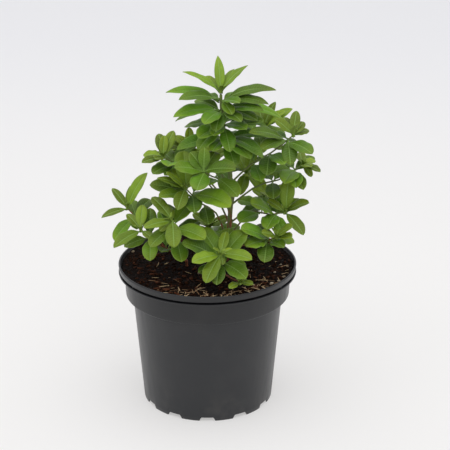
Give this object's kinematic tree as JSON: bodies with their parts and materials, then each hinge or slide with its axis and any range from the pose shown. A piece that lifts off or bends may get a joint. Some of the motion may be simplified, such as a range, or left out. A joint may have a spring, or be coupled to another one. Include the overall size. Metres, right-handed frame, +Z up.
{
  "type": "potted euphorbia",
  "caption": "Young bushy euphorbia with whorls of oblong green leaves on thin woody stems, planted in a black round nursery pot filled with potting soil.",
  "frame": {"origin": "under the middle of the bounding box, on the surface that the pot stands on", "axes": "+Z up along the pot's axis, -Y towards the front, where the low front rosette is, +X to the right seen from the front"},
  "size_m": [0.204, 0.17, 0.3348],
  "materials": {
    "pot_plastic": "black injection-moulded polypropylene with a satin sheen",
    "potting_soil": "dark moist peat with reddish bark crumbs, pale fibres and a few pale grit grains",
    "stem_bark": "reddish-brown woody bark low down, turning dull green towards the shoot tips",
    "young_leaves": "soft yellow-green living leaf with a paler midrib",
    "mature_leaves": "mid-green living leaf with a pale midrib and a slightly paler underside"
  },
  "bodies": {
    "root": {"pot": "pot_plastic", "potting_soil": "potting_soil", "main_stem": "stem_bark", "left_stem": "stem_bark", "front_stem": "stem_bark", "bottom_right_tip_leaves": "young_leaves", "bottom_right_upper_leaves": "mature_leaves", "far_left_tip_leaves": "young_leaves", "far_left_upper_leaves": "mature_leaves", "front_middle_leaves": "mature_leaves", "front_tip_leaves": "young_leaves", "front_upper_leaves": "mature_leaves", "ground_tip_leaves": "young_leaves", "inner_front_tip_leaves": "mature_leaves", "inner_front_upper_leaves": "mature_leaves", "inner_left_tip_leaves": "young_leaves", "inner_right_tip_leaves": "young_leaves", "leader_base_leaves": "mature_leaves", "leader_lower_leaves": "mature_leaves", "leader_middle_leaves": "mature_leaves", "leader_tip_leaves": "young_leaves", "leader_upper_leaves": "mature_leaves", "left_middle_leaves": "mature_leaves", "left_tip_leaves": "young_leaves", "left_upper_leaves": "mature_leaves", "lower_right_middle_leaves": "mature_leaves", "lower_right_tip_leaves": "young_leaves", "lower_right_upper_leaves": "mature_leaves", "mid_left_middle_leaves": "mature_leaves", "mid_left_tip_leaves": "young_leaves", "mid_left_upper_leaves": "mature_leaves", "rear_left_tip_leaves": "young_leaves", "rear_left_upper_leaves": "mature_leaves", "rear_low_tip_leaves": "young_leaves", "rear_low_upper_leaves": "mature_leaves", "rear_middle_tip_leaves": "young_leaves", "rear_middle_upper_leaves": "mature_leaves", "rear_right_tip_leaves": "young_leaves", "rear_right_upper_leaves": "mature_leaves", "rear_upper_right_tip_leaves": "young_leaves", "rear_upper_right_upper_leaves": "mature_leaves", "right_middle_leaves": "mature_leaves", "right_tip_leaves": "young_leaves", "right_upper_leaves": "mature_leaves", "upper_left_middle_leaves": "mature_leaves", "upper_left_tip_leaves": "young_leaves", "upper_left_upper_leaves": "mature_leaves", "upper_middle_left_middle_leaves": "mature_leaves", "upper_middle_left_tip_leaves": "young_leaves", "upper_middle_left_upper_leaves": "mature_leaves", "upper_right_lower_leaves": "mature_leaves", "upper_right_middle_leaves": "mature_leaves", "upper_right_tip_leaves": "young_leaves", "upper_right_upper_leaves": "mature_leaves"}
  },
  "joints": []
}
